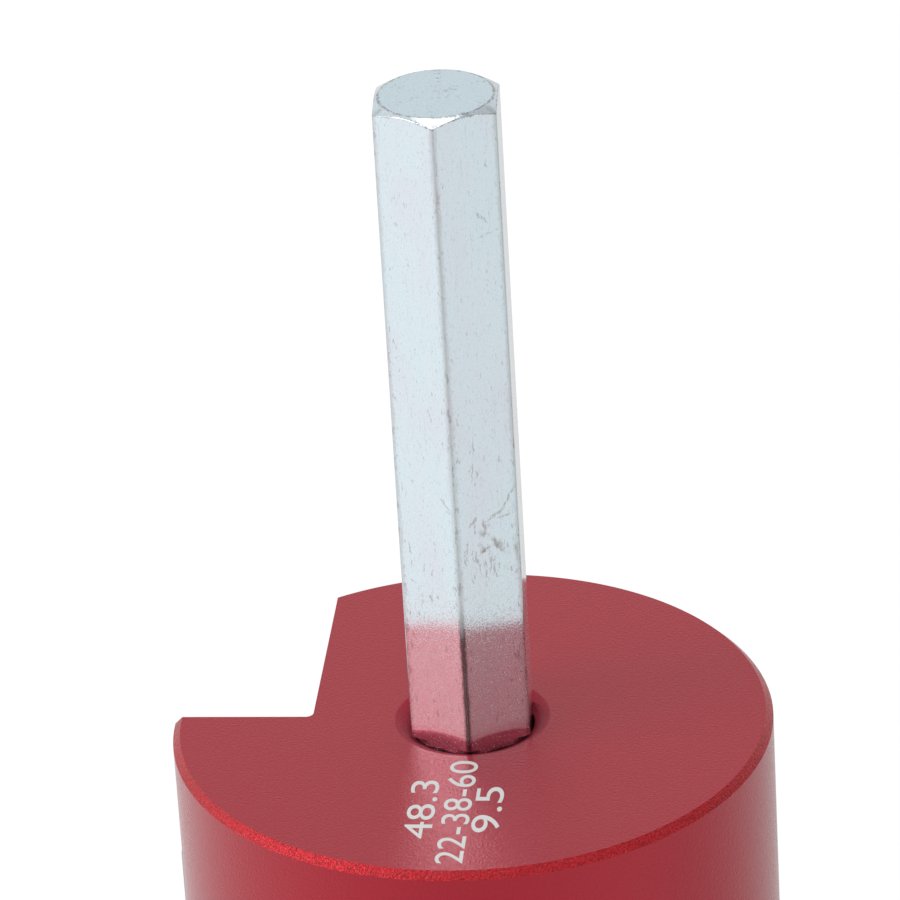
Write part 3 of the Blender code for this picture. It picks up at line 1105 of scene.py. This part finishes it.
# End washer: zinc-plated steel, stamped out of strip, so its lower rim is rounded. It lies on the web
# in the pilot's recess and spreads the end screw's pull.
washer_low, washer_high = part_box("end_washer")
washer_hole_radius = end_screw_size / 2 + fit_gap
stamped_rim = 0.2 * MM
washer_softness = 0.06 * MM
washer = rod("end_washer_finish", washer_high.x, washer_low.z, washer_high.z, 128)
cut(washer, rod("washer_hole", washer_hole_radius, washer_low.z - MM, washer_high.z + MM, 96))
bevel_edges(washer, ring_at(washer_high.x, washer_low.z), stamped_rim, 4)
soften(washer, washer_softness, 2)
washer.data.materials.append(bright_zinc)
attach(washer, "root")
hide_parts("end_washer")

# End screw: an M5 button-head screw, black oxide, up through the washer into the shank's foot. With
# the washer it holds the shank in the body lengthways.
end_low, end_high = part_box("end_screw")
end_head_foot = end_low.z + 0.55 * end_screw_size
end_screw = button_screw("end_screw_finish", end_screw_size, end_high.z - end_head_foot, end_high.x)
seat(end_screw, (0.0, 0.0, end_head_foot), (0.0, 0.0, -1.0))
end_screw.data.materials.append(black_steel)
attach(end_screw, "root")
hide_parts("end_screw")

# Size marking: plain numbers, laser-etched through the red oxide to the pale metal under it. They are
# the pipe's outside diameter, the length of the pilot, of the body above it and of both, and the
# width of the hexagon, in mm.
cap_height = 2.2 * MM
mark_thickness = 0.012 * MM

# Each row's text, its foot's place to the left or right of the axis, and where it starts and ends
marks = (
    ("48.3", -1.69 * MM, -18.7 * MM, -10.0 * MM),
    ("22-38-60", 1.1 * MM, -22.4 * MM, -7.0 * MM),
    ("9.5", 3.5 * MM, -17.8 * MM, -11.0 * MM),
)
rows = []
for text, foot, start, end in marks:
    bpy.ops.object.select_all(action="DESELECT")
    bpy.ops.object.text_add()
    bpy.context.object.data.body = text
    bpy.context.object.data.extrude = 0.5
    bpy.ops.object.convert(target="MESH")
    row = bpy.context.object
    low = Vector(min(corner[k] for corner in row.bound_box) for k in range(3))
    high = Vector(max(corner[k] for corner in row.bound_box) for k in range(3))
    wanted = (end - start, cap_height, mark_thickness)
    grow = Matrix.Diagonal((*(wanted[k] / (high[k] - low[k]) for k in range(3)), 1.0))
    set_down = Matrix.Translation((foot, start, top_height)) @ Matrix.Rotation(radians(90.0), 4, "Z")
    row.data.transform(set_down @ grow @ Matrix.Translation(-low))
    rows.append(row)
activate(rows[0])
for row in rows:
    row.select_set(True)
bpy.ops.object.join()
marking = bpy.context.object
marking.name = "size_marking"


def laser_etched(name):
    """Anodising burnt off by a laser: pale, matt and very slightly grainy aluminium.

    The laser's spots are about 0.05 mm wide and are drawn at 0.15 mm, so that they show.
    """
    made, tree, shader, place = finish_tree(name)
    grain = add_node(tree, "ShaderNodeTexNoise", {"Vector": place, "Scale": 1 / (0.15 * MM), "Detail": 2.0})
    colour = add_node(
        tree,
        "ShaderNodeMix",
        {"Factor": grain, "A": linear("cfcfcd"), "B": linear("e0e0de")},
        data_type="RGBA",
    )
    bump = add_node(tree, "ShaderNodeBump", {"Height": grain, "Strength": 1.0, "Distance": 0.01 * MM})
    put(shader.inputs["Base Color"], colour)
    put(shader.inputs["Metallic"], 0.2)
    put(shader.inputs["Roughness"], 0.6)
    put(shader.inputs["Normal"], bump)
    return made


marking.data.materials.clear()
marking.data.materials.append(laser_etched("laser_etched_aluminium"))
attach(marking, "root")
